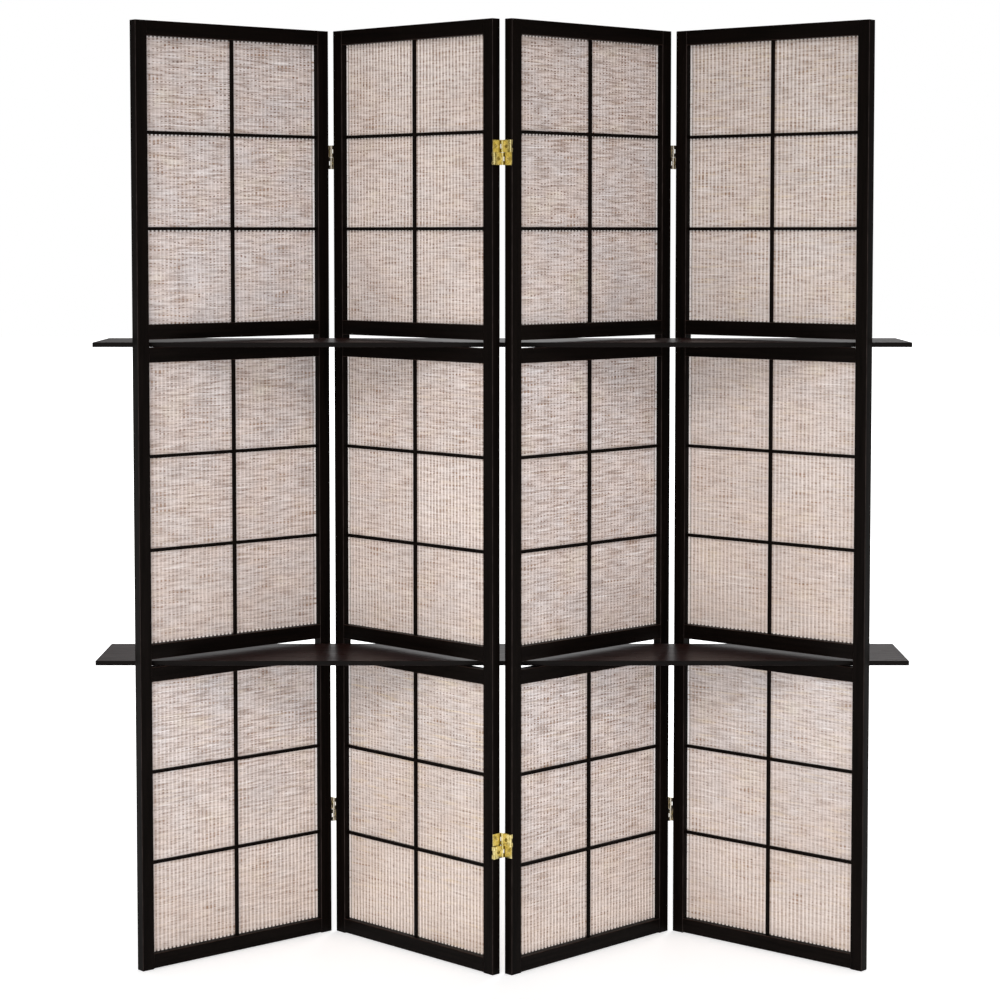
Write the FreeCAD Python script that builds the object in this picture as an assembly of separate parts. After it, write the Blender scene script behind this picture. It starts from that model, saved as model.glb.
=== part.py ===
import FreeCAD, Part
import os

from FreeCAD import Placement, Rotation, Vector

# Folding screen: four framed fabric panels on two-way hinges, with two loose shelves through their slots.
# Millimetres, +Z up, front towards -Y, origin on the floor under the middle of the screen.

# Panel frame
panel_width = 445.0
panel_thickness = 19.0
stile_width = 25.5
rail_height = 28.0
slot_height = 15.0
lower_section = 516.5
middle_section = 528.0
upper_section = 534.0
floor_clearance = 1.5
edge_round = 1.2

# Fabric, and the rebate and beads that hold it at the back of the frame
rebate_width = 5.0
rebate_depth = 6.0
fabric_thickness = 0.8
fabric_edge_clearance = 0.5
bead_width = 6.0
bead_set_back = 0.5

# Lattice bars in front of the fabric
bar_width = 6.0
bar_depth = 5.0
bar_tenon = 4.0
bar_level_shares = (1 / 3, 2 / 3)

# Dowels between rails and stiles
dowel_radius = 3.0
dowel_length = 30.0
dowel_spacing = 12.0
dowel_clearance = 0.05

# Two-way hinges: each has two leaves and two crossing links, one in its upper half and one in its lower half
panel_gap = 10.6
axis_standoff = 1.0
hinge_height = 46.0
hinge_middle_height = 244.5
half_gap = 0.4
leaf_plate = 1.5
link_plate = 1.5
link_clearance = 0.5
barrel_radius = 2.2
knuckle_gap = 0.3
pin_radius = 1.2
pin_clearance = 0.05
knuckles_per_half = 3

# Countersunk hinge screws
screw_length = 16.0
screw_radius = 1.5
screw_tip_radius = 0.4
screw_tip_length = 4.0
screw_head_radius = 3.0
recess_width = 0.8
recess_length = 3.6
recess_depth = 0.9
access_clearance = 0.6

# Shelves
shelf_length = 1530.0
shelf_depth = 208.0
shelf_thickness = 9.0
shelf_round = 1.0
shelf_seat_gap = 0.3
shelf_set_back = 1.5

# Standing pose: how far each panel is turned from the length of the shelves, in degrees
inner_angle = 45.5
outer_angle = 41.0

# Cuts run this far past the faces they open
overrun = 1.0

# An edge runs along a direction when more than this share of its length lies that way
along_share = 0.5

# Levels, stacked from the floor up
lower_section_z = floor_clearance + rail_height
lower_slot_rail_z = lower_section_z + lower_section
lower_slot_z = lower_slot_rail_z + rail_height
middle_rail_z = lower_slot_z + slot_height
middle_section_z = middle_rail_z + rail_height
upper_slot_rail_z = middle_section_z + middle_section
upper_slot_z = upper_slot_rail_z + rail_height
upper_rail_z = upper_slot_z + slot_height
upper_section_z = upper_rail_z + rail_height
top_rail_z = upper_section_z + upper_section
panel_height = top_rail_z + rail_height

sections = (
    (lower_section_z, lower_section),
    (middle_section_z, middle_section),
    (upper_section_z, upper_section),
)
rail_levels = (
    floor_clearance,
    lower_slot_rail_z,
    middle_rail_z,
    upper_slot_rail_z,
    upper_rail_z,
    top_rail_z,
)
hinge_levels = (hinge_middle_height, panel_height - hinge_middle_height)

# Depths, measured back from the front face of a panel
lip_depth = panel_thickness - rebate_depth
bar_front = lip_depth - bar_depth
bar_middle = lip_depth - bar_depth / 2
fabric_back = lip_depth + fabric_thickness
bead_back = panel_thickness - bead_set_back
front_axis = -axis_standoff
back_axis = panel_thickness + axis_standoff

# Hinge divisions
axis_reach = panel_gap / 2
half_height = (hinge_height - half_gap) / 2
knuckle_step = (half_height + knuckle_gap) / knuckles_per_half
knuckle_length = knuckle_step - knuckle_gap

# Panel edges: where each lies and which way is outwards from it
edges = {"left": (0.0, -1), "right": (panel_width, 1)}
along_x = Vector(1, 0, 0)
along_z = Vector(0, 0, 1)


def block(x_from, x_to, y_low, y_high, z_low, z_high):
    """Box between two corners; the two x values may come in either order."""
    corner = Vector(min(x_from, x_to), y_low, z_low)
    return Part.makeBox(abs(x_to - x_from), y_high - y_low, z_high - z_low, corner)


def outside(side, distance):
    """The x of a point this far outside a panel's edge; inside the edge when negative."""
    edge_x, outwards = edges[side]
    return edge_x + outwards * distance


def joined(solids):
    """One solid from several that meet or overlap."""
    return solids[0].multiFuse(solids[1:]).removeSplitter().Solids[0]


def long_edges(box, direction):
    """The edges of a box that run along a direction."""
    def runs_along(edge):
        return abs(edge.tangentAt(edge.FirstParameter).dot(direction)) > along_share
    return [edge for edge in box.Edges if runs_along(edge)]


# Lattice

def upright_bar(section_z, section_height):
    middle = panel_width / 2
    return block(
        middle - bar_width / 2,
        middle + bar_width / 2,
        bar_front,
        lip_depth,
        section_z - bar_tenon,
        section_z + section_height + bar_tenon,
    )


def cross_bars(section_z, section_height):
    bars = []
    for share in bar_level_shares:
        level = section_z + share * section_height
        bars.append(
            block(
                stile_width - bar_tenon,
                panel_width - stile_width + bar_tenon,
                bar_front,
                lip_depth,
                level - bar_width / 2,
                level + bar_width / 2,
            )
        )
    return bars


def lattice_bars():
    """Upright and cross bars of every section, halved into each other where they cross."""
    solids = []
    front_half = block(0, panel_width, bar_front - overrun, bar_middle, 0, panel_height)
    back_half = block(0, panel_width, bar_middle, lip_depth + overrun, 0, panel_height)
    for section_z, section_height in sections:
        upright = upright_bar(section_z, section_height)
        crosses = cross_bars(section_z, section_height)
        for cross in crosses:
            solids.append(cross.cut(upright.common(back_half)).Solids[0])
        halved = upright.cut(Part.makeCompound([cross.common(front_half) for cross in crosses]))
        solids.append(halved.Solids[0])
    return solids


def whole_bars():
    """Bars before halving, which also cut their own mortises in the frame."""
    solids = []
    for section_z, section_height in sections:
        solids.append(upright_bar(section_z, section_height))
        solids.extend(cross_bars(section_z, section_height))
    return solids


# Dowels

def dowels(clearance):
    """Two dowels in each end of each rail, grown by a clearance when they cut their holes."""
    solids = []
    radius = dowel_radius + clearance
    half_length = dowel_length / 2 + clearance
    for level in rail_levels:
        for side in edges:
            start = outside(side, -stile_width) - half_length
            for offset in (-dowel_spacing / 2, dowel_spacing / 2):
                base = Vector(start, panel_thickness / 2, level + rail_height / 2 + offset)
                solids.append(Part.makeCylinder(radius, 2 * half_length, base, along_x))
    return solids


# Fabric and beads

def fabric_panels():
    margin = stile_width - rebate_width + fabric_edge_clearance
    reach = rebate_width - fabric_edge_clearance
    solids = []
    for section_z, section_height in sections:
        top = section_z + section_height + reach
        solids.append(block(margin, panel_width - margin, lip_depth, fabric_back, section_z - reach, top))
    return solids


def fabric_beads():
    """Four strips round each piece of fabric, which fill the rebate behind it."""
    solids = []
    outer = stile_width - rebate_width
    inner = outer + bead_width
    for section_z, section_height in sections:
        low = section_z - rebate_width
        high = section_z + section_height + rebate_width
        for start, end in ((outer, inner), (panel_width - inner, panel_width - outer)):
            solids.append(block(start, end, fabric_back, bead_back, low, high))
        for start, end in ((low, low + bead_width), (high - bead_width, high)):
            solids.append(block(inner, panel_width - inner, fabric_back, bead_back, start, end))
    return solids


# Frame

def stile(side, screws):
    """Upright of a panel, rebated for the fabric and bored for bars, dowels and hinge screws."""
    solid = block(outside(side, 0), outside(side, -stile_width), 0, panel_thickness, 0, panel_height)
    solid = solid.makeFillet(edge_round, solid.Edges)
    tools = whole_bars() + dowels(dowel_clearance) + screws
    for section_z, section_height in sections:
        tools.append(
            block(
                outside(side, rebate_width - stile_width),
                outside(side, -stile_width - overrun),
                lip_depth,
                panel_thickness + overrun,
                section_z - rebate_width,
                section_z + section_height + rebate_width,
            )
        )
    return solid.cut(Part.makeCompound(tools)).Solids[0]


def rail(level):
    """Cross piece of the frame, rebated for the fabric of the section above or below it."""
    start = stile_width
    end = panel_width - stile_width
    solid = block(start, end, 0, panel_thickness, level, level + rail_height)
    solid = solid.makeFillet(edge_round, long_edges(solid, along_x))
    tools = whole_bars() + dowels(dowel_clearance)
    for section_z, section_height in sections:
        tools.append(
            block(
                start - overrun,
                end + overrun,
                lip_depth,
                panel_thickness + overrun,
                section_z - rebate_width,
                section_z + section_height + rebate_width,
            )
        )
    return solid.cut(Part.makeCompound(tools)).Solids[0]


# Hinges

def half_low(level, half):
    """Lowest level of the upper or lower half of a hinge."""
    if half == "upper":
        return level + half_gap / 2
    return level - half_gap / 2 - half_height


def knuckle_axis(side, half):
    """Depth of the pin that a leaf carries: behind the panel in one half and before it in the other."""
    if (side == "right") == (half == "upper"):
        return back_axis
    return front_axis


def barrel(side, axis_depth, low):
    base = Vector(outside(side, axis_reach), axis_depth, low)
    return Part.makeCylinder(barrel_radius, knuckle_length, base, along_z)


def bore(side, axis_depth, low):
    base = Vector(outside(side, axis_reach), axis_depth, low - overrun)
    return Part.makeCylinder(pin_radius + pin_clearance, half_height + 2 * overrun, base, along_z)


def screw_blank(side, level):
    """Countersunk screw without its recess, driven into the edge of a stile."""
    inwards = Vector(-edges[side][1], 0, 0)
    depth = panel_thickness / 2
    head_at = Vector(outside(side, leaf_plate), depth, level)
    shank_at = Vector(outside(side, 0), depth, level)
    shank_length = screw_length - screw_tip_length
    tip_at = Vector(outside(side, -shank_length), depth, level)
    head = Part.makeCone(screw_head_radius, screw_radius, leaf_plate, head_at, inwards)
    shank = Part.makeCylinder(screw_radius, shank_length, shank_at, inwards)
    tip = Part.makeCone(screw_radius, screw_tip_radius, screw_tip_length, tip_at, inwards)
    return joined([head, shank, tip])


def screw_levels(level):
    return [half_low(level, half) + half_height / 2 for half in ("lower", "upper")]


def hinge_screw(side, level):
    """Screw with a cross recess in its head."""
    depth = panel_thickness / 2
    face = outside(side, leaf_plate + overrun)
    floor = outside(side, leaf_plate - recess_depth)
    long_half = recess_length / 2
    short_half = recess_width / 2
    upright = block(face, floor, depth - short_half, depth + short_half, level - long_half, level + long_half)
    level_slot = block(face, floor, depth - long_half, depth + long_half, level - short_half, level + short_half)
    return screw_blank(side, level).cut(Part.makeCompound([upright, level_slot])).Solids[0]


def hinge_leaf(side, level):
    """Plate on the edge of a stile, with two knuckles behind the panel and two before it."""
    low = level - hinge_height / 2
    edge = outside(side, 0)
    face = outside(side, leaf_plate)
    solids = [block(edge, face, 0, panel_thickness, low, low + hinge_height)]
    bores = []
    for half in ("lower", "upper"):
        axis_depth = knuckle_axis(side, half)
        start = half_low(level, half)
        web_front = axis_depth - leaf_plate / 2
        web_back = axis_depth + leaf_plate / 2
        for index in range(0, knuckles_per_half, 2):
            z_low = start + index * knuckle_step
            z_high = z_low + knuckle_length
            solids.append(barrel(side, axis_depth, z_low))
            solids.append(block(edge, outside(side, axis_reach), web_front, web_back, z_low, z_high))
            neck_front = min(web_front, panel_thickness / 2)
            neck_back = max(web_back, panel_thickness / 2)
            solids.append(block(edge, face, neck_front, neck_back, z_low, z_high))
        bores.append(bore(side, axis_depth, start))
    bores.extend(screw_blank(side, screw_level) for screw_level in screw_levels(level))
    return joined(solids).cut(Part.makeCompound(bores)).Solids[0]


def hinge_link(side, level, half):
    """Flat link from the front pin to the back pin, with one knuckle on each and a hole over the screw."""
    low = half_low(level, half)
    tab_low = low + knuckle_step
    tab_high = tab_low + knuckle_length
    near = axis_reach - link_plate / 2
    far = axis_reach + link_plate / 2
    inset = barrel_radius + link_clearance
    face = outside(side, near)
    back = outside(side, far)
    solids = [
        block(face, back, front_axis + inset, back_axis - inset, low, low + half_height),
        block(face, back, front_axis, back_axis, tab_low, tab_high),
    ]
    holes = []
    for axis_depth in (front_axis, back_axis):
        solids.append(barrel(side, axis_depth, tab_low))
        holes.append(bore(side, axis_depth, low))
    hole_at = Vector(min(face, back) - overrun, panel_thickness / 2, low + half_height / 2)
    hole_radius = screw_head_radius + access_clearance
    holes.append(Part.makeCylinder(hole_radius, link_plate + 2 * overrun, hole_at, along_x))
    return joined(solids).cut(Part.makeCompound(holes)).Solids[0]


def hinge_pin(side, level, half):
    base = Vector(outside(side, axis_reach), knuckle_axis(side, half), half_low(level, half))
    return Part.makeCylinder(pin_radius, half_height, base, along_z)


# Panels: the hinged edges of each, and the hinge half whose link it carries there
panel_links = {
    "panel_1": {"right": "upper"},
    "panel_2": {"left": "lower", "right": "lower"},
    "panel_3": {"left": "upper", "right": "upper"},
    "panel_4": {"left": "lower"},
}
panel_turns = {
    "panel_1": outer_angle,
    "panel_2": -inner_angle,
    "panel_3": inner_angle,
    "panel_4": -outer_angle,
}


def panel_nodes(links):
    """Every piece of one panel, front face on the X axis and left edge at the origin."""
    screws = {
        side: [screw_blank(side, z) for level in hinge_levels for z in screw_levels(level)] for side in links
    }
    places = [(side, level) for side in links for level in hinge_levels]
    return {
        "left_stile": [stile("left", screws.get("left", []))],
        "right_stile": [stile("right", screws.get("right", []))],
        "top_rail": [rail(top_rail_z)],
        "upper_slot_rails": [rail(upper_slot_rail_z), rail(upper_rail_z)],
        "lower_slot_rails": [rail(lower_slot_rail_z), rail(middle_rail_z)],
        "bottom_rail": [rail(floor_clearance)],
        "lattice_bars": lattice_bars(),
        "fabric_panels": fabric_panels(),
        "fabric_beads": fabric_beads(),
        "rail_dowels": dowels(0),
        "hinge_leaves": [hinge_leaf(side, level) for side, level in places],
        "hinge_links": [hinge_link(side, level, links[side]) for side, level in places],
        "hinge_pins": [hinge_pin(side, level, half) for side, level in places for half in ("lower", "upper")],
        "hinge_screws": [hinge_screw(side, z) for side, level in places for z in screw_levels(level)],
    }


# Standing pose: the panels chained at the hinge pins that they turn about when the screen is folded

def turned(angle, x, y):
    """A point of a panel's own frame after the panel's turn."""
    return Rotation(along_z, angle).multVec(Vector(x, y, 0))


right_of_panel = panel_width + axis_reach
left_of_panel = -axis_reach
corner_2 = turned(-inner_angle, right_of_panel, back_axis) * -1
corner_3 = turned(inner_angle, left_of_panel, back_axis) * -1
pin_1_2 = corner_2 + turned(-inner_angle, left_of_panel, front_axis)
corner_1 = pin_1_2 - turned(outer_angle, right_of_panel, front_axis)
pin_3_4 = corner_3 + turned(inner_angle, right_of_panel, front_axis)
corner_4 = pin_3_4 - turned(-outer_angle, left_of_panel, front_axis)
panel_corners = {"panel_1": corner_1, "panel_2": corner_2, "panel_3": corner_3, "panel_4": corner_4}
middle_2 = corner_2 + turned(-inner_angle, panel_width / 2, panel_thickness / 2)

# The screen's depth runs between its foremost and rearmost barrels
foremost = (corner_2 + turned(-inner_angle, right_of_panel, front_axis)).y - barrel_radius
rearmost = (corner_1 + turned(outer_angle, right_of_panel, back_axis)).y + barrel_radius
to_origin = Vector(0, -(foremost + rearmost) / 2, 0)

# Upright axes of the joints, in the finished frame
joint_axes = {
    "panel_1_hinge": pin_1_2 + to_origin,
    "panel_3_hinge": to_origin,
    "panel_4_hinge": pin_3_4 + to_origin,
    "lower_shelf_turn": middle_2 + to_origin,
}


# Shelves

def shelf(slot_z):
    """Loose board through the slots of all the panels, lying on the rails under it."""
    middle = middle_2.y + to_origin.y + shelf_set_back
    low = slot_z + shelf_seat_gap
    board = block(
        -shelf_length / 2,
        shelf_length / 2,
        middle - shelf_depth / 2,
        middle + shelf_depth / 2,
        low,
        low + shelf_thickness,
    )
    return board.makeFillet(shelf_round, board.Edges)


def build():
    """All nodes in the finished frame, as lists of solids."""
    nodes = {}
    for panel, links in panel_links.items():
        placement = Placement(panel_corners[panel] + to_origin, Rotation(along_z, panel_turns[panel]))
        for name, solids in panel_nodes(links).items():
            placed = []
            for solid in solids:
                copy = solid.copy()
                copy.Placement = placement.multiply(copy.Placement)
                placed.append(copy)
            nodes[panel + "_" + name] = placed
    nodes["lower_shelf"] = [shelf(lower_slot_z)]
    nodes["upper_shelf"] = [shelf(upper_slot_z)]
    return nodes


def export(nodes):
    os.makedirs("parts", exist_ok=True)
    for name, solids in nodes.items():
        shape = solids[0] if len(solids) == 1 else Part.makeCompound(solids)
        shape.exportStep("parts/" + name + ".step")


model = build()
export(model)
solid_count = sum(len(solids) for solids in model.values())
print("nodes", len(model), "solids", solid_count, "height", panel_height)
for joint_name, axis in joint_axes.items():
    print(joint_name, round(axis.x, 3), round(axis.y, 3))
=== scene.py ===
import math

import bpy
import numpy as np
from mathutils import Matrix, Vector


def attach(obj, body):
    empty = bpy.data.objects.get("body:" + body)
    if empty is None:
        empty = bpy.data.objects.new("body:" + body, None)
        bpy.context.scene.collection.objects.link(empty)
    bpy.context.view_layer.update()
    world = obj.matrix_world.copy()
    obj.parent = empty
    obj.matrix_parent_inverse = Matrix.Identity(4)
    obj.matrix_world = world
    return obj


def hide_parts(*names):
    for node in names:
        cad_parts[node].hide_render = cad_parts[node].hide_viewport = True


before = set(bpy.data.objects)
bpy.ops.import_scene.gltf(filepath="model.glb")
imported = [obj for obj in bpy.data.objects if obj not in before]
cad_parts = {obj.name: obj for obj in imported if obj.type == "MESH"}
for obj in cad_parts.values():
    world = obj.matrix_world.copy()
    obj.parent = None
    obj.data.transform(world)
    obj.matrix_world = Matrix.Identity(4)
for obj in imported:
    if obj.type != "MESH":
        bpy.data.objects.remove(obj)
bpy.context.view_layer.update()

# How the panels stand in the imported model, in degrees about the upright axis
PANEL_TURNS = {"panel_1": 41.0, "panel_2": -45.5, "panel_3": 45.5, "panel_4": -41.0}
SECTIONS = ("lower", "middle", "upper")

# Decimals to which levels of the model are told apart, in metres
LEVEL_DECIMALS = 5

# The camera, in metres, degrees and pixels of the square picture
CAMERA_PLACE = (-0.0043, -5.0, 1.385)
CAMERA_PITCH = 3.627
LEVEL_VIEW = 90.0
CAMERA_SHIFT_UP_SHARE = -0.10
PICTURE_WIDTH = 1000
FOCAL_PIXELS = 2627
SENSOR_WIDTH = 36.0
CLIP_END = 100.0

# The largest screen value of a colour, and the sRGB rule's straight start and the curve after it
SCREEN_WHITE = 255
START_SHARE, START_SLOPE = 0.04045, 12.92
CURVE_OFFSET, CURVE_POWER = 0.055, 2.4


def paint(red, green, blue):
    """A colour written in screen values, as the linear values that shaders take by the sRGB rule."""
    def linear(value):
        share = value / SCREEN_WHITE
        if share <= START_SHARE:
            return share / START_SLOPE
        return ((share + CURVE_OFFSET) / (1 + CURVE_OFFSET)) ** CURVE_POWER
    return (linear(red), linear(green), linear(blue), 1.0)


WHITE = paint(SCREEN_WHITE, SCREEN_WHITE, SCREEN_WHITE)

# Results of a change from nothing to all, and of one from all to nothing
RISING, FALLING = (0.0, 1.0), (1.0, 0.0)

# Numbers of a mix node's sockets: the share, the two colours, and the mixed colour that comes out
MIX_SHARE, MIX_FIRST, MIX_SECOND, MIX_RESULT = 0, 6, 7, 2


class Nodes:
    """Short calls that add nodes to a material's or world's tree and link them."""

    def __init__(self, tree):
        self.tree = tree

    def feed(self, socket, value):
        if isinstance(value, bpy.types.NodeSocket):
            self.tree.links.new(value, socket)
        else:
            socket.default_value = value

    def node(self, kind, **settings):
        made = self.tree.nodes.new(kind)
        for key, value in settings.items():
            setattr(made, key, value)
        return made

    def parts(self, vector):
        """The three numbers of a vector."""
        made = self.node("ShaderNodeSeparateXYZ")
        self.feed(made.inputs[0], vector)
        return made.outputs

    def repeat(self, value, half):
        """How far a value is from the nearest whole repeat, where half a repeat is given."""
        return self.math("PINGPONG", value, half)

    def math(self, operation, first, second=0.0):
        made = self.node("ShaderNodeMath", operation=operation)
        self.feed(made.inputs[0], first)
        self.feed(made.inputs[1], second)
        return made.outputs[0]

    def times(self, first, *others):
        for other in others:
            first = self.math("MULTIPLY", first, other)
        return first

    def plus(self, first, second):
        return self.math("ADD", first, second)

    def rest(self, share):
        """What is left of one."""
        return self.math("SUBTRACT", 1.0, share)

    def turned(self, vector, angle):
        """A vector in the axes of a panel that stands at an angle, in degrees."""
        made = self.node("ShaderNodeMapping")
        self.feed(made.inputs["Vector"], vector)
        made.inputs["Rotation"].default_value = (0.0, 0.0, -math.radians(angle))
        return made.outputs[0]

    def scaled(self, vector, scale):
        made = self.node("ShaderNodeMapping")
        self.feed(made.inputs["Vector"], vector)
        made.inputs["Scale"].default_value = scale
        return made.outputs[0]

    def noise(self, vector, scale, detail=2.0, roughness=0.5, distortion=0.0):
        made = self.node("ShaderNodeTexNoise")
        self.feed(made.inputs["Vector"], self.scaled(vector, scale))
        made.inputs["Scale"].default_value = 1.0
        made.inputs["Detail"].default_value = detail
        made.inputs["Roughness"].default_value = roughness
        made.inputs["Distortion"].default_value = distortion
        return made.outputs["Fac"]

    def step(self, value, span, to=RISING):
        """A smooth change over a span of values, from the first of two results to the second."""
        made = self.node("ShaderNodeMapRange", interpolation_type="SMOOTHSTEP")
        self.feed(made.inputs["Value"], value)
        made.inputs["From Min"].default_value, made.inputs["From Max"].default_value = span
        made.inputs["To Min"].default_value, made.inputs["To Max"].default_value = to
        return made.outputs["Result"]

    def ramp(self, value, stops):
        made = self.node("ShaderNodeValToRGB")
        self.feed(made.inputs["Fac"], value)
        elements = made.color_ramp.elements
        while len(elements) < len(stops):
            elements.new(1.0)
        for element, (place, colour) in zip(elements, stops):
            element.position = place
            element.color = colour
        return made.outputs["Color"]

    def mix(self, share, first, second, blend="MIX"):
        made = self.node("ShaderNodeMix", data_type="RGBA", blend_type=blend)
        self.feed(made.inputs[MIX_SHARE], share)
        self.feed(made.inputs[MIX_FIRST], first)
        self.feed(made.inputs[MIX_SECOND], second)
        return made.outputs[MIX_RESULT]


class Shader(Nodes):
    """A material with a principled surface."""

    def __init__(self, name):
        self.material = bpy.data.materials.new(name)
        self.material.use_nodes = True
        super().__init__(self.material.node_tree)
        self.surface = self.tree.nodes["Principled BSDF"]

    def place(self, angle=0.0):
        """Places on the piece in metres, in the axes of a panel that stands at an angle."""
        return self.turned(self.node("ShaderNodeTexCoord").outputs["Object"], angle)

    def facing(self, angle=0.0):
        """Which way the surface faces, in the axes of a panel that stands at an angle."""
        return self.parts(self.turned(self.node("ShaderNodeTexCoord").outputs["Normal"], angle))

    def value(self, name):
        """A value that the mesh carries at each of its points."""
        return self.node("ShaderNodeAttribute", attribute_name=name).outputs["Fac"]

    def bump(self, height, distance, strength=1.0):
        made = self.node("ShaderNodeBump")
        self.feed(made.inputs["Height"], height)
        made.inputs["Distance"].default_value = distance
        made.inputs["Strength"].default_value = strength
        self.tree.links.new(made.outputs["Normal"], self.surface.inputs["Normal"])

    def settings(self, **values):
        for key, value in values.items():
            self.feed(self.surface.inputs[key.replace("_", " ")], value)


def zip_stops(places, colours):
    """The stops of a colour ramp."""
    return tuple(zip(places, colours))


# Lacquered wood: noise scales in waves per metre, noise as detail, roughness and distortion
GRAIN_ACROSS, GRAIN_ALONG = 150.0, 7.0
GRAIN_NOISE = (5.0, 0.55, 0.4)
GRAIN_SPAN = (0.3, 0.72)
PORES_ACROSS, PORES_ALONG = 900.0, 28.0
PORE_SPAN = (0.58, 0.72)
PORE_SHARE = 0.5
GRAIN_HEIGHT = 0.00006
GRAIN_BUMP_SHARE = 0.5
SCUFF_SCALE = (40.0, 40.0, 40.0)
SCUFF_NOISE = (4.0, 0.6)
SCUFF_SPAN = (0.35, 0.7)
SCUFF_SHARES = (0.4, 1.0)
EDGE_TURN_SPAN = (0.985, 0.90)
TOP_TURN_SPAN = (0.6, 0.95)


def along(axis, across_scale, along_scale):
    """A noise scale with its long waves along one axis."""
    scale = [across_scale] * 3
    scale["xyz".index(axis)] = along_scale
    return scale


def arris_wear_and_highlight(shader, facing):
    """One along the rounded arrises of a piece, where lacquer wears thin and a painted highlight lies,
    and zero on its flat faces.
    """
    along_x, along_y, along_z = [shader.math("ABSOLUTE", part) for part in facing]
    squarest = shader.math("MAXIMUM", shader.math("MAXIMUM", along_x, along_y), along_z)
    return shader.step(squarest, EDGE_TURN_SPAN)


def lacquered_wood(name, angle, axis, stain, top_stain_and_sheen, edge_wear_and_highlight, specular, roughness):
    """Dark stained wood under satin lacquer, with its grain along one axis of its panel, wear and a
    painted highlight on its arrises, and on the shelves a painted sheen on upward faces.
    """
    shader = Shader(name)
    place = shader.place(angle)
    grain = shader.noise(place, along(axis, GRAIN_ACROSS, GRAIN_ALONG), *GRAIN_NOISE)
    pore = shader.step(shader.noise(place, along(axis, PORES_ACROSS, PORES_ALONG)), PORE_SPAN)
    facing = shader.facing(angle)
    # Upward faces take the top colour, on the shelves a painted sheen
    colour = shader.mix(shader.step(facing["Z"], TOP_TURN_SPAN),
                        shader.ramp(grain, zip_stops(GRAIN_SPAN, stain)),
                        shader.ramp(grain, zip_stops(GRAIN_SPAN, top_stain_and_sheen)))
    colour = shader.mix(shader.times(pore, PORE_SHARE), colour, stain[0])
    scuffs = shader.step(shader.noise(place, SCUFF_SCALE, *SCUFF_NOISE), SCUFF_SPAN, SCUFF_SHARES)
    # Wear and a painted highlight along the rounded arrises, broken up by scuffs
    colour = shader.mix(shader.times(arris_wear_and_highlight(shader, facing), scuffs), colour, edge_wear_and_highlight)
    height = shader.math("SUBTRACT", shader.times(grain, PORE_SHARE), pore)
    shader.bump(height, GRAIN_HEIGHT, GRAIN_BUMP_SHARE)
    shader.settings(Base_Color=colour, Specular_IOR_Level=specular,
                    Roughness=shader.step(grain, GRAIN_SPAN, roughness[::-1]))
    return shader.material


# Bare wood of the dowels
DOWEL_GRAIN_SCALE = (300.0, 300.0, 300.0)
DOWEL_GRAIN_NOISE = (4.0, 0.6, 0.6)
DOWEL_GRAIN_HEIGHT = 0.00008
DOWEL_BUMP_SHARE = 0.4
DOWEL_ROUGHNESS = 0.65
DOWEL_STAIN = (paint(186, 140, 96), paint(222, 184, 140))


def bare_wood(name):
    """Plain turned hardwood."""
    shader = Shader(name)
    grain = shader.noise(shader.place(), DOWEL_GRAIN_SCALE, *DOWEL_GRAIN_NOISE)
    shader.bump(grain, DOWEL_GRAIN_HEIGHT, DOWEL_BUMP_SHARE)
    shader.settings(Base_Color=shader.ramp(grain, zip_stops(GRAIN_SPAN, DOWEL_STAIN)),
                    Roughness=DOWEL_ROUGHNESS)
    return shader.material


# Brass of the hinges: spans of places are in metres back from the middle of the screen
BRUSHING_SCALE = (2600.0, 2600.0, 90.0)
BRUSHING_SPAN = (0.3, 0.7)
BRUSHING_HEIGHT = 0.00002
BRUSHING_BUMP_SHARE = 0.5
BRASS_ROUGHNESS = (0.16, 0.36)
TARNISH_SCALE = (160.0, 160.0, 160.0)
TARNISH_NOISE = (3.0, 0.6)
TARNISH_SPAN = (0.32, 0.6)
CREVICE_REACH = 0.003
CREVICE_SAMPLES = 8
CREVICE_SPAN = (0.35, 0.85)
BACK_HALF_SPAN = (0.0, 0.02)
INNER_TURN_SPAN = (-0.1, -0.4)
# Front-facing faces inside the back hinges: a painted pale reflection
INNER_PAINTED_REFLECTION = paint(196, 187, 172)


def brass(name, dull, bright, crevice):
    """Yellow brass, brushed upright, faintly tarnished, dull in crevices, with a painted pale reflection
    inside the back hinges.
    """
    shader = Shader(name)
    place = shader.place()
    brushing = shader.noise(place, BRUSHING_SCALE)
    cloud = shader.noise(place, TARNISH_SCALE, *TARNISH_NOISE)
    colour = shader.ramp(cloud, zip_stops(TARNISH_SPAN, (dull, bright)))
    open_sky = shader.node("ShaderNodeAmbientOcclusion", samples=CREVICE_SAMPLES)
    open_sky.inputs["Distance"].default_value = CREVICE_REACH
    # Painted pale reflection on the faces inside the back hinges that face the front
    at_back = shader.step(shader.parts(place)["Y"], BACK_HALF_SPAN)
    reflecting_inner_faces = shader.times(at_back, shader.step(shader.facing()["Y"], INNER_TURN_SPAN))
    colour = shader.mix(reflecting_inner_faces, colour, INNER_PAINTED_REFLECTION)
    colour = shader.mix(shader.step(open_sky.outputs["AO"], CREVICE_SPAN), crevice, colour)
    shader.bump(brushing, BRUSHING_HEIGHT, BRUSHING_BUMP_SHARE)
    shader.settings(Base_Color=colour, Metallic=1.0,
                    Roughness=shader.step(brushing, BRUSHING_SPAN, BRASS_ROUGHNESS))
    return shader.material


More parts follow.
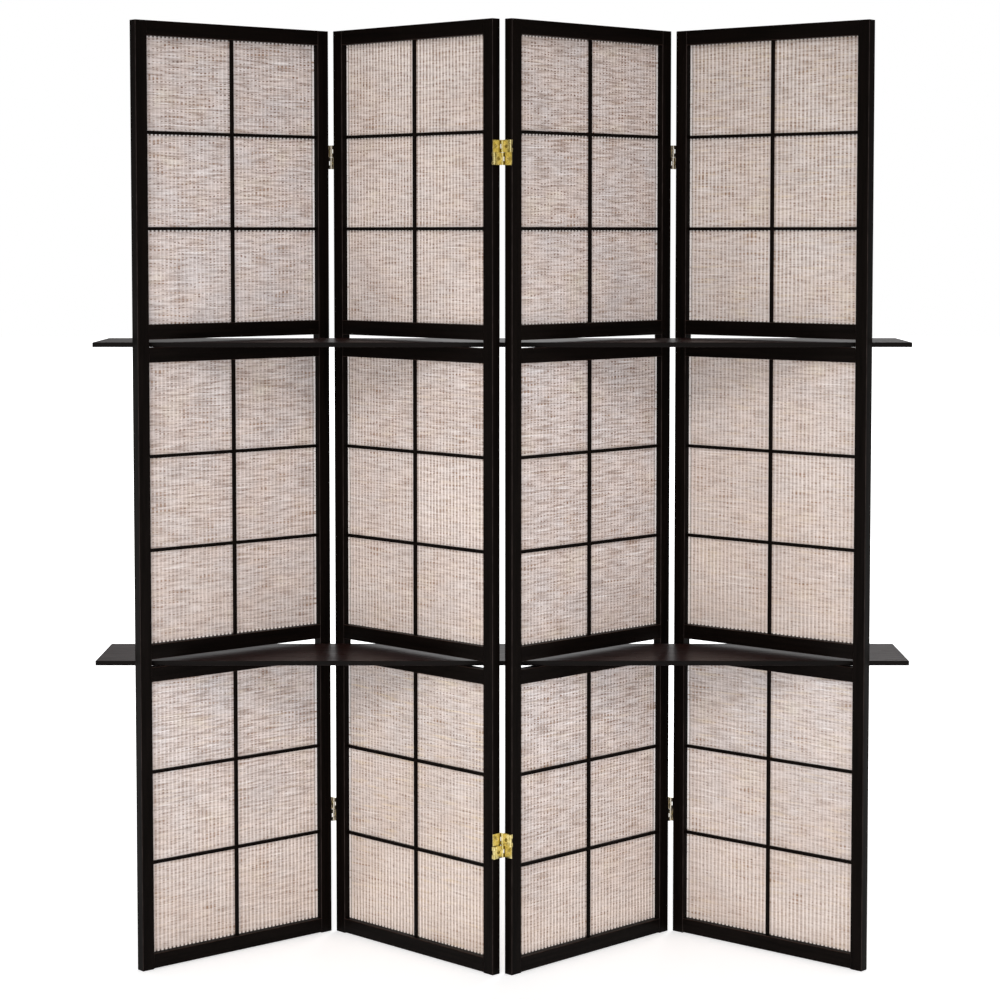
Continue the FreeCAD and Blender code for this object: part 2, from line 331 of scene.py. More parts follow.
# Shape of the cloth and of the lattice in front of it, in metres
FABRIC_LAP = 0.0045
BAR_WIDTH = 0.006
BAR_LEVEL_SHARES = (1 / 3, 2 / 3)
UPRIGHT_BAR_SHARE = 0.5
RIB_COUNT = 45
RIB_RISE = 0.0005
RIB_VALLEY = 0.00025
RIB_STRENGTH_SHARES = (0.75, 1.15)
RIB_WAVES = (7.0, 15.0)
RIB_SWELL_SHARE = 0.15
RIB_WANDER = 0.0004
RIB_PROFILE_SHARES = ((0.0, 0.0), (0.27, 0.06), (0.38, 0.62), (0.5, 1.0), (0.62, 0.62), (0.73, 0.06))
CLOTH_SKIN = 0.00045
CLOTH_FRONT_CLEARANCE = 0.00005
CLOTH_BILLOW = 0.0003
BILLOWS_ACROSS, BILLOWS_UP = 5, 7
PRESSED_WIDTH = 0.006
PANE_ROW_SPACING = 0.016
FEWEST_PANE_ROWS = 2
EDGE_ROW_SHARES = (0.0, 0.12, 0.3, 0.55, 1.0)

# How each panel's lower, middle and upper cloth differs: widths of painted shade in metres, the rest in
# shares
FOOT_SHADE_WIDTHS = {
    "panel_1": (0.0045, 0.0045, 0.0012),
    "panel_2": (0.0035, 0.0008, 0.0008),
    "panel_3": (0.0045, 0.0045, 0.0030),
    "panel_4": (0.0035, 0.0030, 0.0020),
}
HEAD_SHADE_WIDTHS = {
    "panel_1": (0.0014, 0.0010, 0.0040),
    "panel_2": (0.0010, 0.0010, 0.0026),
    "panel_3": (0.0014, 0.0010, 0.0040),
    "panel_4": (0.0012, 0.0010, 0.0030),
}
CORD_SHOW_SHARES = {
    "panel_1": (1.0, 0.35, 0.1),
    "panel_2": (1.25, 1.0, 0.85),
    "panel_3": (0.9, 0.15, 0.05),
    "panel_4": (1.0, 0.95, 0.9),
}
DOT_SHOW_SHARES = {
    "panel_1": (0.6, 0.7, 1.0),
    "panel_2": (0.7, 0.9, 1.1),
    "panel_3": (0.9, 0.9, 1.0),
    "panel_4": (0.5, 0.6, 0.95),
}
STREAK_SHOW_SHARES = {
    "panel_1": (1.3, 1.4, 1.35),
    "panel_2": (0.9, 1.3, 1.45),
    "panel_3": (1.3, 1.4, 1.35),
    "panel_4": (0.9, 1.0, 1.25),
}
STRAW_SHOW_SHARES = {
    "panel_1": (0.3, 0.2, 0.2),
    "panel_2": (0.9, 0.4, 0.3),
    "panel_3": (0.3, 0.2, 0.2),
    "panel_4": (0.6, 0.5, 0.7),
}
# Dye level and warmth of each piece: partly the cloth's own tone, partly painted light fitted to how each
# piece is lit
DYE_AND_LIGHT_SHARES = {
    "panel_1": (1.20, 1.16, 1.22),
    "panel_2": (1.14, 1.16, 1.10),
    "panel_3": (1.22, 1.22, 1.16),
    "panel_4": (1.11, 1.06, 1.03),
}
WARM_AND_LIGHT_SHARES = {
    "panel_1": (-0.028, -0.025, -0.045),
    "panel_2": (-0.016, -0.015, -0.012),
    "panel_3": (-0.025, -0.030, -0.030),
    "panel_4": (-0.026, -0.009, -0.025),
}
SHOWN = {
    "cord_show": CORD_SHOW_SHARES,
    "dot_show": DOT_SHOW_SHARES,
    "streak_show": STREAK_SHOW_SHARES,
    "straw_show": STRAW_SHOW_SHARES,
}

# Shares of these values at the foot, half way up and at the head of lower, middle and upper cloth
CHANGE_PLACE_SHARES = (0.0, 0.5, 1.0)
ROW_CHANGE_SHARES = ((0.8, 1.1, 1.25), (0.8, 1.0, 1.2), (0.8, 1.0, 1.2))
CHANGE_SHARES = {
    "cord_show": ((1.3, 0.45, 0.05), (0.85, 0.9, 0.5), (0.8, 1.0, 1.5)),
    "dot_show": ROW_CHANGE_SHARES,
    "streak_show": ROW_CHANGE_SHARES,
    "straw_show": ((1.0, 1.0, 1.0),) * len(SECTIONS),
}

# How much the dye of lower, middle and upper cloth changes from foot to head, about the level half way
# up: partly painted light that evens out the shade under the shelves, partly making up for fewer pale
# cords towards the head
DYE_AND_LIGHT_RISE_SHARES = (0.24, 0.11, -0.08)
WARM_AND_LIGHT_RISE_SHARES = (-0.07, -0.03, 0.0)
MIDDLE_SHARE = 0.5

# How far along the roll one piece of cloth starts from the next, in metres
ROLL_STEP = 0.62
RANDOM_SEED = 7

# Weave of the cloth: noise scales in waves per metre across and along the roll, places in metres
HALF_PITCH_SHARE = 0.5
CORD_SPAN_SHARES = (0.17, 0.31)
TINT_SCALE = (9.0, 13.0, 1.0)
TINT_NOISE = (3.0, 0.55)
TINT_STOPS = (
    (0.30, paint(197, 186, 183)),
    (0.45, paint(203, 190, 185)),
    (0.58, paint(205, 189, 182)),
    (0.72, paint(208, 194, 182)),
)
STREAK_SCALE = (20.0, 250.0, 1.0)
STREAK_NOISE = (3.0, 0.6)
STREAK_STOPS = (
    (0.36, paint(190, 179, 173)),
    (0.50, paint(238, 235, 233)),
    (0.62, WHITE),
)
STREAK_SHARE = 0.7
YARN_DETAIL = 1.0
STRAW_SCALE = (12.0, 150.0, 17.0)
STRAW_SPAN = (0.55, 0.74)
STRAW_SHARES = (0.15, 0.8)
STRAW_YARN = paint(205, 183, 154)
YARN_ROWS = 205.0
SWAY_SCALE = (22.0, 60.0, 1.0)
SWAY_ROWS = 3.0
ROW_GAP_SPAN_SHARES = (0.06, 0.3)
DOT_SCALE = (42.0, 205.0, 19.0)
DOT_DETAIL = 0.0
DOT_SPAN = (0.42, 0.64)
DOT_SHARES = (0.08, 1.0)
DOT_TINT_SCALE = (21.0, 33.0, 29.0)
DOT_TINT_SPAN = (0.35, 0.65)
DOT_TINTS = (paint(118, 99, 91), paint(114, 77, 55))
BRIGHT_SCALE = (11.0, 240.0, 3.0)
BRIGHT_SPAN = (0.60, 0.72)
BRIGHT_SHARE = 0.5
BRIGHT_YARN = paint(233, 225, 221)
WEAR_SCALE = (60.0, 210.0, 5.0)
WEAR_SPAN = (0.25, 0.62)
WEAR_SHARES = (0.35, 0.85)
REGION_SCALE = (3.2, 4.2, 11.0)
REGION_SPAN = (0.38, 0.62)
REGION_SHARES = (0.4, 0.9)
CORD_YARN = paint(230, 218, 211)
GAP_SHARE = 0.2
GAP_TINT = paint(166, 144, 126)
DASH_SCALE = (17.0, 210.0, 7.0)
DASH_SPAN = (0.57, 0.69)
DASH_PATCH_SCALE = (8.0, 11.0, 9.0)
DASH_PATCH_SPAN = (0.42, 0.62)
DASH_PATCH_SHARES = (0.15, 1.0)
DASH_SHARE = 0.85
DASH_YARN = paint(138, 106, 82)
FLECK_SCALE = (85.0, 300.0, 13.0)
FLECK_SPAN = (0.655, 0.75)
FLECK_SHARE = 0.8
FLECK_YARN = paint(104, 82, 66)
UNDER_CORD_SHARES = (1.0, 0.12)
SELVEDGE_SPAN = (0.0080, 0.0094)
SELVEDGE_SHARE = 0.85
SELVEDGE_YARN = paint(232, 222, 216)
SEAM_PLACE = 0.0093
SEAM_SPAN = (0.0004, 0.0010)
SEAM_SHARE = 0.65
SEAM_SHADE = paint(92, 74, 66)
# Painted highlights on the cords' ends and painted shade between the cords, beside rails and bars
CORD_TIP_HIGHLIGHT_SHARE = 0.8
CORD_TIP_PAINTED_HIGHLIGHT = paint(240, 231, 225)
POCKET_SHARE = 0.9
POCKET_SHADE = paint(44, 33, 28)
FIBRE_SCALE = (420.0, 1700.0, 1.0)
FIBRE_SHARE = 0.3
STREAK_HEIGHT_SHARE = 0.5
WEAVE_HEIGHT = 0.0006
WEAVE_BUMP_SHARE = 0.6
CLOTH_ROUGHNESS = 0.92
CLOTH_SPECULAR = 0.2
CLOTH_SHEEN = 0.12


def woven_cloth(width):
    """Slubby cross yarns in grey, pink and straw tints, bound by pale upright cords."""
    shader = Shader("woven_cloth")
    roll = shader.node("ShaderNodeUVMap", uv_map="roll").outputs["UV"]
    across, up, _ = shader.parts(roll)
    from_valley = shader.repeat(shader.math("DIVIDE", across, width / RIB_COUNT), HALF_PITCH_SHARE)
    from_edge = shader.repeat(across, width / 2)
    selvedge = shader.step(from_edge, SELVEDGE_SPAN, FALLING)
    cord = shader.times(shader.step(from_valley, CORD_SPAN_SHARES), shader.rest(selvedge))
    gap = shader.rest(cord)

    # Cross yarns, each with its own tint along its length
    streak = shader.noise(roll, STREAK_SCALE, *STREAK_NOISE)
    colour = shader.ramp(shader.noise(roll, TINT_SCALE, *TINT_NOISE), TINT_STOPS)
    streaked = shader.mix(1.0, colour, shader.ramp(streak, STREAK_STOPS), "MULTIPLY")
    colour = shader.mix(shader.times(shader.value("streak_show"), STREAK_SHARE), colour, streaked)
    straw = shader.step(shader.noise(roll, STRAW_SCALE, YARN_DETAIL), STRAW_SPAN, STRAW_SHARES)
    colour = shader.mix(shader.times(straw, shader.value("straw_show")), colour, STRAW_YARN)

    # Dark pinholes between the yarns
    sway = shader.times(shader.noise(roll, SWAY_SCALE), SWAY_ROWS)
    row = shader.repeat(shader.plus(shader.times(up, YARN_ROWS), sway), HALF_PITCH_SHARE)
    pinhole = shader.times(shader.step(row, ROW_GAP_SPAN_SHARES, FALLING), gap)
    dots = shader.step(shader.noise(roll, DOT_SCALE, DOT_DETAIL), DOT_SPAN, DOT_SHARES)
    dot_tint = shader.ramp(shader.noise(roll, DOT_TINT_SCALE), zip_stops(DOT_TINT_SPAN, DOT_TINTS))
    colour = shader.mix(shader.times(pinhole, dots, shader.value("dot_show")), colour, dot_tint)
    bright = shader.step(shader.noise(roll, BRIGHT_SCALE), BRIGHT_SPAN)
    colour = shader.mix(shader.times(bright, BRIGHT_SHARE), colour, BRIGHT_YARN)

    # Upright cords, which show more in some regions than in others
    wear = shader.step(shader.noise(roll, WEAR_SCALE), WEAR_SPAN, WEAR_SHARES)
    region = shader.step(shader.noise(roll, REGION_SCALE), REGION_SPAN, REGION_SHARES)
    cord_show = shader.value("cord_show")
    colour = shader.mix(shader.times(gap, cord_show, GAP_SHARE), colour, GAP_TINT)
    colour = shader.mix(shader.times(cord, wear, region, cord_show), colour, CORD_YARN)
    colour = shader.mix(shader.times(selvedge, SELVEDGE_SHARE), colour, SELVEDGE_YARN)
    from_seam = shader.math("ABSOLUTE", shader.math("SUBTRACT", from_edge, SEAM_PLACE))
    seam = shader.step(from_seam, SEAM_SPAN, (SEAM_SHARE, 0.0))
    colour = shader.mix(seam, colour, SEAM_SHADE)

    # Brown slubs and flecks, which pass under the cords
    in_gap = shader.step(cord, RISING, UNDER_CORD_SHARES)
    dashes = shader.step(shader.noise(roll, DASH_SCALE, YARN_DETAIL), DASH_SPAN)
    patch = shader.step(shader.noise(roll, DASH_PATCH_SCALE), DASH_PATCH_SPAN, DASH_PATCH_SHARES)
    colour = shader.mix(shader.times(dashes, patch, in_gap, DASH_SHARE), colour, DASH_YARN)
    fleck = shader.step(shader.noise(roll, FLECK_SCALE, YARN_DETAIL), FLECK_SPAN)
    colour = shader.mix(shader.times(fleck, in_gap, FLECK_SHARE), colour, FLECK_YARN)

    # Painted shade in the valleys and painted highlights on the cords' ends, at the foot and under bars
    # and rails
    painted_edge_light = shader.value("painted_edge_shade_and_highlight")
    colour = shader.mix(shader.times(painted_edge_light, cord, CORD_TIP_HIGHLIGHT_SHARE), colour, CORD_TIP_PAINTED_HIGHLIGHT)
    painted_pocket_shade = shader.times(painted_edge_light, gap, shader.rest(selvedge), POCKET_SHARE)
    colour = shader.mix(painted_pocket_shade, colour, POCKET_SHADE)

    # Dye, partly painted light, differs from piece to piece and along each piece
    dye_and_light = shader.node("ShaderNodeAttribute", attribute_name="dye_and_light").outputs["Color"]
    colour = shader.mix(1.0, colour, dye_and_light, "MULTIPLY")

    # Height of the yarns and their fibres
    fibre = shader.times(shader.noise(roll, FIBRE_SCALE), FIBRE_SHARE)
    height = shader.plus(shader.times(row, gap), fibre)
    height = shader.plus(height, shader.times(streak, STREAK_HEIGHT_SHARE))
    shader.bump(height, WEAVE_HEIGHT, WEAVE_BUMP_SHARE)
    shader.settings(Base_Color=colour, Roughness=CLOTH_ROUGHNESS, Specular_IOR_Level=CLOTH_SPECULAR,
                    Sheen_Weight=CLOTH_SHEEN)
    return shader.material


def smooth(share):
    """A change from nothing to all that starts and ends gently."""
    share = np.clip(share, 0.0, 1.0)
    return share * share * (3 - 2 * share)


def panel_axes(panel):
    """Turns a place in the model into the panel's own axes: along it, back from its front, up."""
    return Matrix.Rotation(-math.radians(PANEL_TURNS[panel]), 3, "Z")


def cloth_boxes(panel):
    """The three cloth solids of a panel as lowest and highest corners in the panel's own axes."""
    into = panel_axes(panel)
    points = [into @ v.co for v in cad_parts[panel + "_fabric_panels"].data.vertices]
    levels = sorted({round(p.z, LEVEL_DECIMALS) for p in points})
    low = [min(p[axis] for p in points) for axis in range(2)]
    high = [max(p[axis] for p in points) for axis in range(2)]
    return [
        (Vector((*low, levels[2 * section])), Vector((*high, levels[2 * section + 1])))
        for section in range(len(SECTIONS))
    ]


def openings(length, bar_shares):
    """The clear stretches between the frame and the bars along one side of a piece of cloth."""
    clear = length - 2 * FABRIC_LAP
    edges = [FABRIC_LAP]
    for share in bar_shares:
        middle = FABRIC_LAP + share * clear
        edges += [middle - BAR_WIDTH / 2, middle + BAR_WIDTH / 2]
    edges.append(length - FABRIC_LAP)
    return list(zip(edges[::2], edges[1::2]))


def cloth_rows(height):
    """Levels up the cloth: close together beside bars and rails, further apart between."""
    rows = [0.0]
    for low, high in openings(height, BAR_LEVEL_SHARES):
        beside = [share * PRESSED_WIDTH for share in EDGE_ROW_SHARES]
        count = max(FEWEST_PANE_ROWS, round((high - low - 2 * PRESSED_WIDTH) / PANE_ROW_SPACING))
        between = np.linspace(low + PRESSED_WIDTH, high - PRESSED_WIDTH, count + 1)[1:-1]
        rows += [low + b for b in beside] + list(between) + [high - b for b in reversed(beside)]
    rows.append(height)
    return np.array(rows)


def rib_columns(width):
    """Places across the cloth, the share of the rib's height there, and the rib's number."""
    pitch = width / RIB_COUNT
    places = [(rib + place) * pitch for rib in range(RIB_COUNT) for place, _ in RIB_PROFILE_SHARES]
    heights = [height for _ in range(RIB_COUNT) for _, height in RIB_PROFILE_SHARES]
    ribs = [rib for rib in range(RIB_COUNT) for _ in RIB_PROFILE_SHARES]
    return (
        np.array(places + [width]),
        np.array(heights + [RIB_PROFILE_SHARES[0][1]]),
        np.array(ribs + [RIB_COUNT - 1]),
    )


def nearest_edge(places, stretches):
    """How far each place is inside a clear stretch, and zero behind a bar or the frame."""
    inside = [np.minimum(places - low, high - places) for low, high in stretches]
    return np.maximum(np.max(inside, axis=0), 0.0)


def pocket_shade(up, stretches, foot_width, head_width):
    """The strength of painted shade and painted cord highlights: one at the rail under the cloth and
    under each bar or rail, fading over the widths given.
    """
    above_foot = np.maximum(up - stretches[0][0], 0.0)
    below_head = np.min([np.where(up <= high, high - up, np.inf) for _, high in stretches], axis=0)
    return 1 - smooth(np.minimum(above_foot / foot_width, below_head / head_width))


def grid_faces(row_count, column_count, first, flipped):
    """The four-sided faces of a grid of points, whose first point has the number given."""
    faces = []
    for row in range(row_count - 1):
        for column in range(column_count - 1):
            corner = first + row * column_count + column
            face = [corner, corner + 1, corner + 1 + column_count, corner + column_count]
            faces.append(face[::-1] if flipped else face)
    return faces


def rim_faces(row_count, column_count):
    """The thin edge that joins the front and back of a piece of cloth."""
    top = (row_count - 1) * column_count
    rim = list(range(column_count))
    rim += [row * column_count + column_count - 1 for row in range(1, row_count)]
    rim += list(range(top + column_count - 2, top - 1, -1))
    rim += [row * column_count for row in range(row_count - 2, 0, -1)]
    back = row_count * column_count
    return [[b, a, a + back, b + back] for a, b in zip(rim, rim[1:] + rim[:1])]


def cloth_surface(across, up, rib_height, rib, random):
    """Sideways drift of the ribs and how far the cloth stands forward, over the whole piece."""
    width, height = across[-1], up[-1]
    clear_across = nearest_edge(across, openings(width, (UPRIGHT_BAR_SHARE,)))
    clear_up = nearest_edge(up, openings(height, BAR_LEVEL_SHARES))
    free = smooth(clear_up / PRESSED_WIDTH)[:, None] * smooth(clear_across / PRESSED_WIDTH)[None, :]
    phases = random.uniform(0.0, 2 * math.pi, RIB_COUNT)[rib]
    strengths = random.uniform(*RIB_STRENGTH_SHARES, RIB_COUNT)[rib]
    waves = random.uniform(*RIB_WAVES, RIB_COUNT)[rib]
    sway = np.sin(np.pi * up[:, None] * waves[None, :] + phases[None, :])
    swell = np.sin(2 * np.pi * up[:, None] * waves[None, :] + 2 * phases[None, :])
    bulge = np.sin(BILLOWS_ACROSS * np.pi * across / width + phases[0])[None, :]
    bulge = bulge * np.sin(BILLOWS_UP * np.pi * up / height + phases[-1])[:, None]
    rise = RIB_RISE * (rib_height * strengths)[None, :] * (1 + RIB_SWELL_SHARE * swell)
    return RIB_WANDER * free * sway, free * (rise + CLOTH_BILLOW * bulge)


def add_values(mesh, name, values):
    """One number for each point of a mesh."""
    mesh.attributes.new(name, "FLOAT", "POINT").data.foreach_set("value", values)


def add_dye_and_light(mesh, level, warm):
    """A colour at each point of the mesh, dye and painted light, which the cloth's own colours are
    multiplied by.
    """
    dye_and_light = np.stack((level * (1 + warm), level, level * (1 - warm), np.ones_like(level)), axis=-1)
    mesh.attributes.new("dye_and_light", "FLOAT_COLOR", "POINT").data.foreach_set("color", dye_and_light.ravel())


def cloth_piece(panel, section, low, high, cut, random, material):
    """One ribbed piece of cloth, pressed flat under the bars and standing free between them."""
    across, rib_height, rib = rib_columns(high.x - low.x)
    up = cloth_rows(high.z - low.z)
    drift, forward = cloth_surface(across, up, rib_height, rib, random)
    x = low.x + across[None, :] + drift
    front = low.y + CLOTH_FRONT_CLEARANCE + RIB_VALLEY * (1 - rib_height)[None, :] - forward
    z = np.broadcast_to(low.z + up[:, None], front.shape)
    out_of = panel_axes(panel).transposed()
    points = [
        out_of @ Vector(point)
        for depth in (front, front + CLOTH_SKIN)
        for point in zip(x.ravel(), depth.ravel(), z.ravel())
    ]
    rows, columns = front.shape
    faces = grid_faces(rows, columns, 0, False) + grid_faces(rows, columns, rows * columns, True)
    faces += rim_faces(rows, columns)
    name = f"{panel}_fabric_{section}"
    mesh = bpy.data.meshes.new(name)
    mesh.from_pydata(points, [], faces)
    along_roll = up[:, None] + cut * ROLL_STEP
    on_roll = np.stack(np.broadcast_arrays(across[None, :], along_roll), axis=-1)
    on_roll = np.tile(on_roll.reshape(-1, 2), (2, 1))
    loops = np.zeros(len(mesh.loops), dtype=np.int32)
    mesh.loops.foreach_get("vertex_index", loops)
    mesh.uv_layers.new(name="roll").data.foreach_set("uv", on_roll[loops].ravel())
    place = SECTIONS.index(section)
    # Painted shade between the cords and painted highlights on their ends, at the rails and bars, on the
    # front layer only
    shade = pocket_shade(up, openings(up[-1], BAR_LEVEL_SHARES),
                         FOOT_SHADE_WIDTHS[panel][place], HEAD_SHADE_WIDTHS[panel][place])
    shade = np.repeat(shade, columns)
    add_values(mesh, "painted_edge_shade_and_highlight", np.concatenate((shade, np.zeros_like(shade))))
    for value, shares in SHOWN.items():
        change = np.interp(up / up[-1], CHANGE_PLACE_SHARES, CHANGE_SHARES[value][place])
        add_values(mesh, value, np.tile(np.repeat(shares[panel][place] * change, columns), 2))
    # Dye with painted light that changes from foot to head
    risen = np.tile(np.repeat(up / up[-1] - MIDDLE_SHARE, columns), 2)
    add_dye_and_light(mesh, DYE_AND_LIGHT_SHARES[panel][place] * (1 + DYE_AND_LIGHT_RISE_SHARES[place] * risen),
            WARM_AND_LIGHT_SHARES[panel][place] + WARM_AND_LIGHT_RISE_SHARES[place] * risen)
    mesh.polygons.foreach_set("use_smooth", [True] * len(mesh.polygons))
    mesh.materials.append(material)
    piece = bpy.data.objects.new(name, mesh)
    bpy.context.scene.collection.objects.link(piece)
    return piece


def add_cloth():
    """Twelve pieces of cloth, cut one after another from the same roll."""
    random = np.random.RandomState(RANDOM_SEED)
    low, high = cloth_boxes("panel_1")[0]
    material = woven_cloth(high.x - low.x)
    cut = 0
    for panel in PANEL_TURNS:
        for section, (low, high) in zip(SECTIONS, cloth_boxes(panel)):
            piece = cloth_piece(panel, section, low, high, cut, random, material)
            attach(piece, panel)
            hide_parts(panel + "_fabric_panels")
            cut += 1


# Finishes of the rigid pieces
UPRIGHT_PIECES = ("left_stile", "right_stile")
LEVEL_PIECES = ("top_rail", "upper_slot_rails", "lower_slot_rails", "bottom_rail")
BAR_PIECES = ("lattice_bars", "fabric_beads")
BRASS_PIECES = ("hinge_leaves", "hinge_links", "hinge_pins")
FRAME_STAIN = (paint(6, 4, 3), paint(15, 10, 8))
FRAME_SPECULAR = 0.035
# Colours of the arrises: wear of the lacquer with a painted highlight
UPRIGHT_WEAR_AND_HIGHLIGHT = paint(56, 48, 46)
LEVEL_WEAR_AND_HIGHLIGHT = paint(58, 43, 38)
BAR_WEAR_AND_HIGHLIGHT = paint(30, 23, 21)
SHELF_WEAR_AND_HIGHLIGHT = paint(26, 20, 18)
FRAME_ROUGHNESS = (0.34, 0.46)
FRAME_WOODS = (
    ("upright_wood", "z", UPRIGHT_WEAR_AND_HIGHLIGHT, UPRIGHT_PIECES),
    ("level_wood", "x", LEVEL_WEAR_AND_HIGHLIGHT, LEVEL_PIECES),
    ("bar_wood", "z", BAR_WEAR_AND_HIGHLIGHT, BAR_PIECES),
)
SHELF_EDGE_STAIN = (paint(7, 5, 4), paint(13, 9, 8))
# Upward faces of the shelves: a lighter brown that is a painted sheen
SHELF_TOP_PAINTED_SHEEN = (paint(30, 16, 14), paint(46, 27, 25))
SHELF_SPECULAR = 0.06
SHELF_ROUGHNESS = (0.26, 0.36)
LEAF_BRASS = (paint(198, 180, 108), paint(232, 217, 154), paint(84, 64, 24))
SCREW_BRASS = (paint(226, 208, 160), paint(248, 236, 200), paint(168, 146, 96))


def dress(node, material):
    """Gives a node of the model its one material."""
    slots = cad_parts[node].data.materials
    slots.clear()
    slots.append(material)


def add_finishes():
    """Materials of the rigid pieces, which keep the shapes of the model."""
    leaf_metal = brass("hinge_brass", *LEAF_BRASS)
    screw_metal = brass("screw_brass", *SCREW_BRASS)
    hidden_wood = bare_wood("dowel_beech")
    for panel, angle in PANEL_TURNS.items():
        for name, axis, edge_wear_and_highlight, pieces in FRAME_WOODS:
            wood = lacquered_wood(
                f"{panel}_{name}", angle, axis, FRAME_STAIN, FRAME_STAIN, edge_wear_and_highlight,
                FRAME_SPECULAR, FRAME_ROUGHNESS)
            for piece in pieces:
                dress(f"{panel}_{piece}", wood)
        for piece in BRASS_PIECES:
            dress(f"{panel}_{piece}", leaf_metal)
        dress(panel + "_hinge_screws", screw_metal)
        dress(panel + "_rail_dowels", hidden_wood)
    board = lacquered_wood(
        "shelf_wood", 0.0, "x", SHELF_EDGE_STAIN, SHELF_TOP_PAINTED_SHEEN, SHELF_WEAR_AND_HIGHLIGHT,
        SHELF_SPECULAR, SHELF_ROUGHNESS)
    dress("lower_shelf", board)
    dress("upper_shelf", board)


def add_camera():
    """The photograph's point of view."""
    data = bpy.data.cameras.new("camera")
    data.sensor_width = SENSOR_WIDTH
    data.lens = FOCAL_PIXELS / PICTURE_WIDTH * SENSOR_WIDTH
    data.shift_y = CAMERA_SHIFT_UP_SHARE
    data.clip_end = CLIP_END
    camera = bpy.data.objects.new("camera", data)
    camera.location = CAMERA_PLACE
    camera.rotation_euler = (math.radians(LEVEL_VIEW - CAMERA_PITCH), 0.0, 0.0)
    bpy.context.scene.collection.objects.link(camera)
    bpy.context.scene.camera = camera


# Lights: places in metres, angles in degrees, the lamp in watts, the suns in watts per square metre
FRONT_LAMP_PLACE = (-0.2, -6.0, 1.1)
FRONT_LAMP_TARGET = (0.0, 0.0, 0.2)
FRONT_LAMP_CONE = 50.0
FRONT_LAMP_BLEND_SHARE = 1.0
FRONT_LAMP_RADIUS = 0.8
FRONT_LAMP_POWER = 760.0
SUNS = {
    "above": ((-0.2, -0.9, 0.55), 0.7),
    "behind": ((0.3, 0.8, 0.5), 0.9),
}
SUN_SOFTNESS = 20.0


def add_front_lamp():
    """A soft cone of light, strongest low on the screen, with no picture of it in glossy surfaces."""
    data = bpy.data.lights.new("front", "SPOT")
    data.energy = FRONT_LAMP_POWER
    data.spot_size = math.radians(FRONT_LAMP_CONE)
    data.spot_blend = FRONT_LAMP_BLEND_SHARE
    data.shadow_soft_size = FRONT_LAMP_RADIUS
    lamp = bpy.data.objects.new("front", data)
    lamp.location = FRONT_LAMP_PLACE
    aim = Vector(FRONT_LAMP_TARGET) - Vector(FRONT_LAMP_PLACE)
    lamp.rotation_euler = aim.to_track_quat("-Z", "Y").to_euler()
    lamp.visible_glossy = False
    lamp.visible_camera = False
    bpy.context.scene.collection.objects.link(lamp)


def add_suns():
    """Broad soft lights with the same strength at every height."""
    for name, (direction, strength) in SUNS.items():
        data = bpy.data.lights.new(name, "SUN")
        data.energy = strength
        data.angle = math.radians(SUN_SOFTNESS)
        sun = bpy.data.objects.new(name, data)
        sun.rotation_euler = (-Vector(direction)).to_track_quat("-Z", "Y").to_euler()
        bpy.context.scene.collection.objects.link(sun)


# The studio that shiny surfaces show: light in front and in the middle behind, dark at the sides
WORLD_LIGHT = 0.58
FRONT_SPAN, FRONT_LEVELS = (0.35, 0.75), (1.0, 0.05)
BACK_SPAN, BACK_LEVELS = (0.03, 0.18), (1.0, 0.31)
FLANK_SPAN, FLANK_LEVELS = (0.2, 0.55), (1.0, 0.2)
BEHIND_SPAN = (-0.05, 0.05)
HORIZON_SPAN, HORIZON_LEVELS = (0.05, 0.16), (0.42, 1.0)
OVERHEAD_SPAN, OVERHEAD_LEVELS = (0.35, 0.75), (1.0, 0.35)


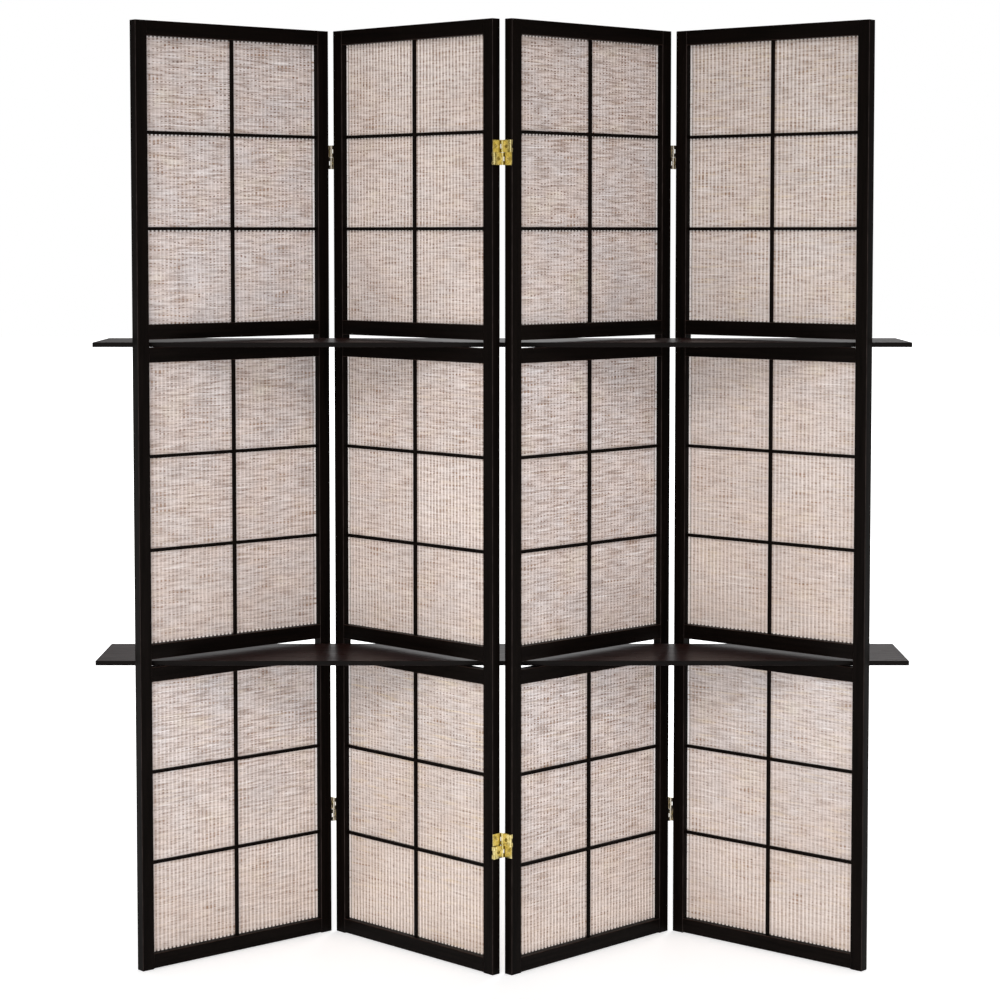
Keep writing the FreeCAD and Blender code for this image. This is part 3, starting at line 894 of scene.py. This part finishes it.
def add_world():
    """Even light on all sides, a white backdrop for the camera, and the studio for shiny surfaces."""
    world = bpy.data.worlds.new("studio")
    bpy.context.scene.world = world
    world.use_nodes = True
    nodes = Nodes(world.node_tree)
    background = nodes.tree.nodes["Background"]
    background.inputs["Color"].default_value = WHITE
    sideways, back, up = nodes.parts(nodes.node("ShaderNodeTexCoord").outputs["Generated"])
    sideways = nodes.math("ABSOLUTE", sideways)
    behind = nodes.step(back, BEHIND_SPAN)
    in_front = nodes.times(nodes.step(sideways, FRONT_SPAN, FRONT_LEVELS), nodes.rest(behind))
    back_middle = nodes.step(sideways, BACK_SPAN, BACK_LEVELS)
    at_back = nodes.times(back_middle, nodes.step(sideways, FLANK_SPAN, FLANK_LEVELS), behind)
    at_back = nodes.times(at_back, nodes.step(up, HORIZON_SPAN, HORIZON_LEVELS))
    overhead = nodes.step(up, OVERHEAD_SPAN, OVERHEAD_LEVELS)
    studio = nodes.times(nodes.plus(in_front, at_back), overhead)
    path = nodes.node("ShaderNodeLightPath").outputs
    shiny = nodes.times(path["Is Glossy Ray"], studio)
    seen = nodes.math("MAXIMUM", path["Is Camera Ray"], path["Is Transmission Ray"])
    plain = nodes.times(path["Is Diffuse Ray"], WORLD_LIGHT)
    nodes.feed(background.inputs["Strength"], nodes.plus(nodes.math("MAXIMUM", seen, shiny), plain))


# The floor, which glows to white away from the object so that no horizon shows
FLOOR_SIZE = 60.0
FLOOR_PAINT = paint(236, 236, 236)
FLOOR_ROUGHNESS = 0.9
FLOOR_FADE_SPAN = (1.0, 1.9)
FLOOR_GLOW_LEVELS = (0.45, 1.0)


def add_floor():
    """A pale floor that keeps the object's shadow."""
    shader = Shader("studio_floor")
    distance = shader.node("ShaderNodeVectorMath", operation="LENGTH")
    shader.feed(distance.inputs[0], shader.place())
    path = shader.node("ShaderNodeLightPath").outputs
    seen = shader.math("MAXIMUM", path["Is Camera Ray"], path["Is Glossy Ray"])
    seen = shader.math("MAXIMUM", seen, path["Is Transmission Ray"])
    fade = shader.step(distance.outputs["Value"], FLOOR_FADE_SPAN, FLOOR_GLOW_LEVELS)
    glow = shader.times(seen, fade)
    shader.settings(Base_Color=FLOOR_PAINT, Roughness=FLOOR_ROUGHNESS, Specular_IOR_Level=0.0,
                    Emission_Color=WHITE, Emission_Strength=glow)
    half = FLOOR_SIZE / 2
    corners = [(-half, -half, 0), (half, -half, 0), (half, half, 0), (-half, half, 0)]
    mesh = bpy.data.meshes.new("studio_floor")
    mesh.from_pydata(corners, [], [(0, 1, 2, 3)])
    mesh.materials.append(shader.material)
    floor = bpy.data.objects.new("studio_floor", mesh)
    bpy.context.scene.collection.objects.link(floor)


bpy.context.scene.view_settings.view_transform = "Standard"
add_finishes()
add_cloth()
add_world()
add_floor()
add_front_lamp()
add_suns()
add_camera()
